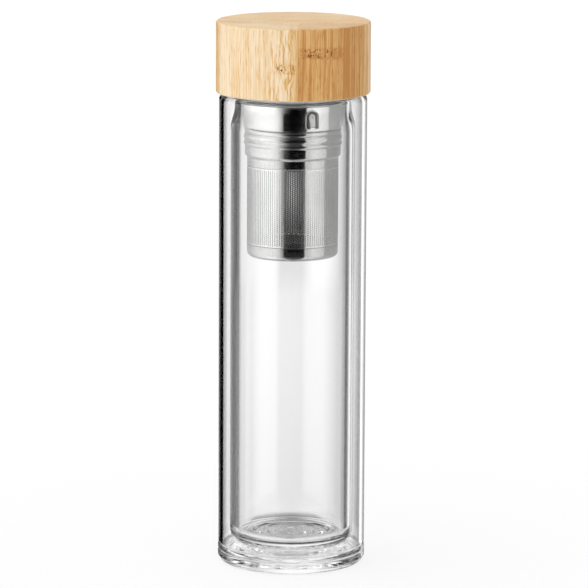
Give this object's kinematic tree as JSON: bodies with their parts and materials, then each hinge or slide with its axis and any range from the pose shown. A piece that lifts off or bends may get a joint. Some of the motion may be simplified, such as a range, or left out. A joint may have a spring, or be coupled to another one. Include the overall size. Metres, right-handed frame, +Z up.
{
  "type": "glass tea infuser bottle",
  "caption": "Slim double-walled glass bottle with a bamboo screw lid and a hanging two-part steel tea infuser with spring tongues.",
  "frame": {"origin": "centre of the foot, on the surface that the bottle stands on", "axes": "+Z up along the bottle's axis; the reference view looks along +Y with +X to the right"},
  "size_m": [0.0678, 0.0678, 0.2415],
  "materials": {
    "clear_glass": "clear, polished borosilicate",
    "bamboo": "turned bamboo, satin oiled",
    "moulded_insert": "moulded, satin",
    "silicone": "translucent white silicone, matt",
    "steel_sheet": "drawn stainless sheet, polished",
    "steel_perforated": "perforated stainless sheet"
  },
  "bodies": {
    "bottle": {"outer_glass": "clear_glass", "inner_glass": "clear_glass", "base_glass": "clear_glass"},
    "infuser": {"infuser_collar": "steel_sheet"},
    "basket": {"basket_rim": "steel_sheet", "basket_sleeve": "steel_perforated", "basket_base": "steel_sheet", "basket_floor": "steel_perforated"},
    "tongue_1": {"spring_tongue_1": "steel_sheet"},
    "tongue_2": {"spring_tongue_2": "steel_sheet"},
    "tongue_3": {"spring_tongue_3": "steel_sheet"},
    "gasket": {"lid_gasket": "silicone"},
    "disc": {"lid_liner_disc": "steel_sheet"},
    "lid": {"bamboo_cap": "bamboo", "lid_thread_ring": "moulded_insert"}
  },
  "joints": [
    {"name": "infuser_lift", "type": "slide", "parent": "bottle", "child": "infuser", "axis": [0, 0, 1], "range_m": [0, 0.095]},
    {"name": "basket_pull", "type": "slide", "parent": "infuser", "child": "basket", "axis": [0, 0, -1], "range_m": [0, 0.025]},
    {"name": "lid_rise", "type": "slide", "parent": "infuser", "child": "gasket", "axis": [0, 0, 1], "range_m": [0, 0.024]},
    {"name": "lid_turn", "type": "hinge", "parent": "gasket", "child": "disc", "pos_m": [0, 0, 0.2331], "axis": [0, 0, 1], "range_deg": [0, 720]},
    {"name": "lid_follow_turn", "type": "hinge", "parent": "disc", "child": "lid", "pos_m": [0, 0, 0.21], "axis": [0, 0, 1], "range_deg": [0, 2851]},
    {"name": "tongue_flex_1", "type": "hinge", "parent": "infuser", "child": "tongue_1", "pos_m": [0.00783, -0.02072, 0.1966], "axis": [0.9354, 0.3535, 0], "range_deg": [0, 5], "stiffness_Nm_per_rad": 0.5},
    {"name": "tongue_flex_2", "type": "hinge", "parent": "infuser", "child": "tongue_2", "pos_m": [0.01403, 0.01714, 0.1966], "axis": [-0.7738, 0.6334, 0], "range_deg": [0, 5], "stiffness_Nm_per_rad": 0.5},
    {"name": "tongue_flex_3", "type": "hinge", "parent": "infuser", "child": "tongue_3", "pos_m": [-0.02186, 0.00358, 0.1966], "axis": [-0.1616, -0.9869, 0], "range_deg": [0, 5], "stiffness_Nm_per_rad": 0.5}
  ],
  "couplings": [
    {"joint": "lid_rise", "follows": "lid_turn", "m_per_rad": 0.0019099},
    {"joint": "lid_follow_turn", "follows": "infuser_lift", "rad_per_m": 523.6}
  ]
}
